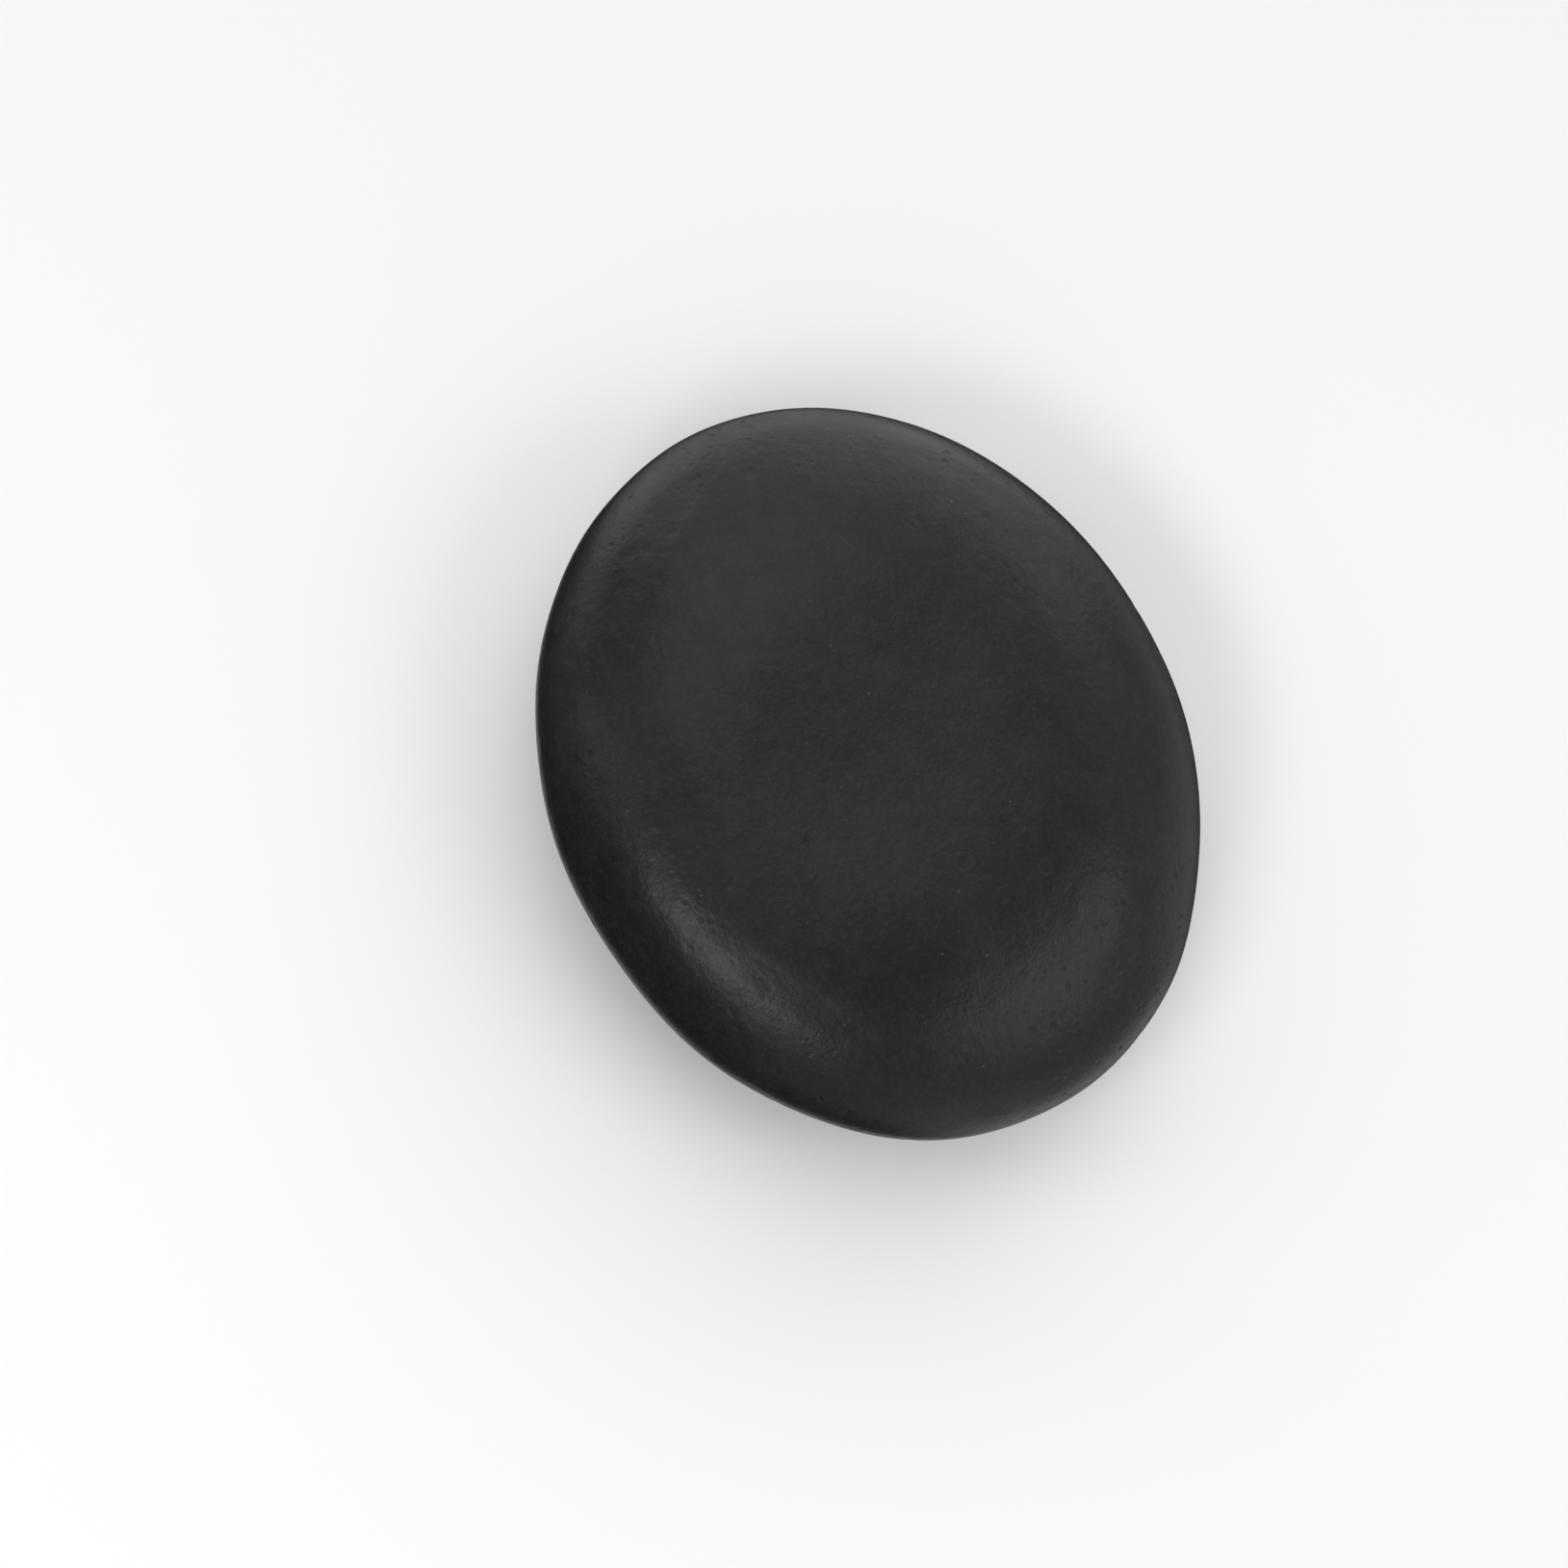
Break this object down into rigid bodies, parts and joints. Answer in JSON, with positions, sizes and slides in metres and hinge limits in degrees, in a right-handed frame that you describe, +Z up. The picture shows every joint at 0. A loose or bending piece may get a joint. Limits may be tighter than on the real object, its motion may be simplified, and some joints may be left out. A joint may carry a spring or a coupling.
{
  "type": "basalt massage stone",
  "caption": "Flat oval stone of near-black basalt with level faces and a fully rounded edge, warmed and oiled for gliding over the body in hot-stone massage.",
  "frame": {"origin": "under the middle of the stone, on the surface that it rests on", "axes": "+X along the length of the oval, +Y along its width, +Z up through the thickness, out of the crown face"},
  "size_m": [0.1, 0.085, 0.03],
  "materials": {
    "basalt": "ground and tumbled smooth, rubbed with oil, satin"
  },
  "bodies": {
    "root": {"stone": "basalt"}
  },
  "joints": []
}
